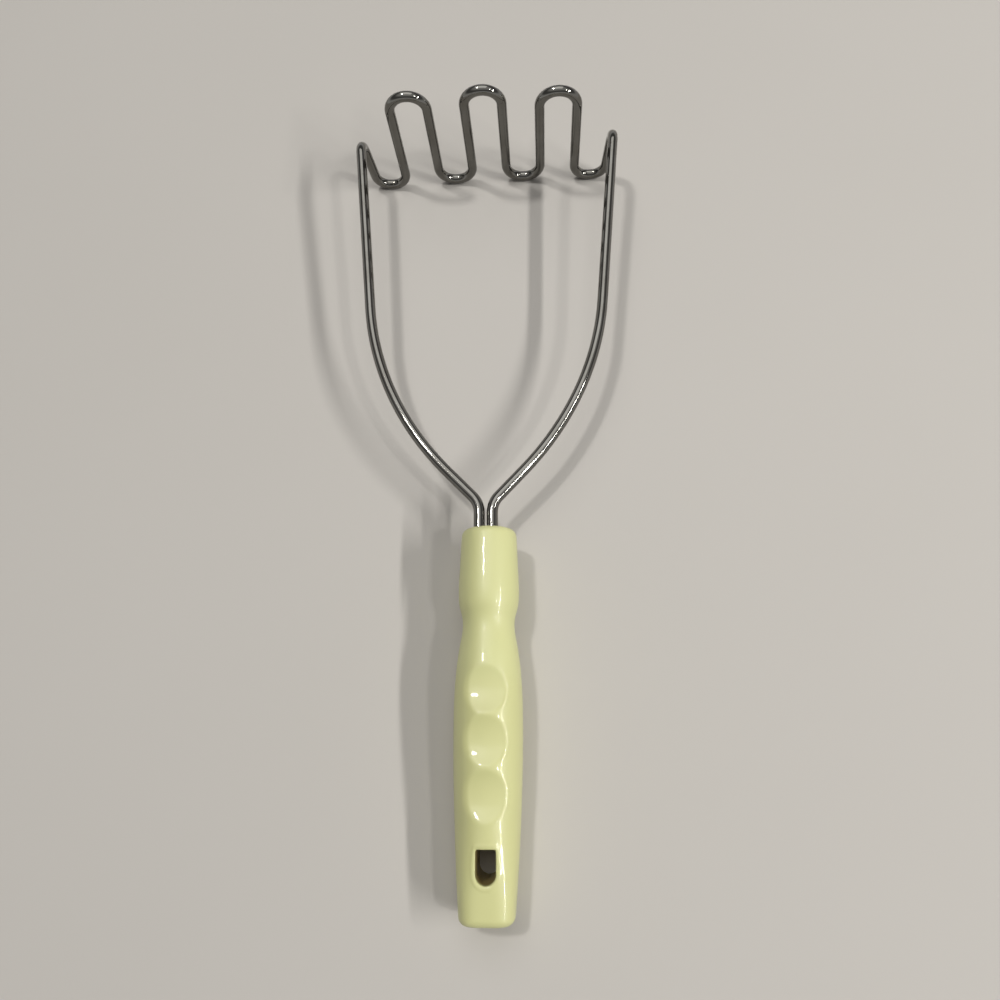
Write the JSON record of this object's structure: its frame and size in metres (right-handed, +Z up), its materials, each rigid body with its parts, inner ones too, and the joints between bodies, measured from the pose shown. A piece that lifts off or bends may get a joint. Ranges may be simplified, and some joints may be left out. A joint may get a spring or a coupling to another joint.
{
  "type": "potato masher",
  "caption": "Potato masher of one bright plated wire, bent to a head of upright legs, in a glossy cream plastic handle with finger dimples and a hang hole.",
  "frame": {"origin": "middle of the underside of the box around the masher as it lies on a table", "axes": "+Z up from the table, +Y from the handle to the mashing head, +X to the right seen from the handle's end"},
  "size_m": [0.0982, 0.269, 0.0485],
  "materials": {
    "plated_wire": "bright plated, faint drawing marks",
    "cream_plastic": "glossy, lightly worn"
  },
  "bodies": {
    "root": {"masher_wire": "plated_wire", "handle": "cream_plastic"}
  },
  "joints": []
}
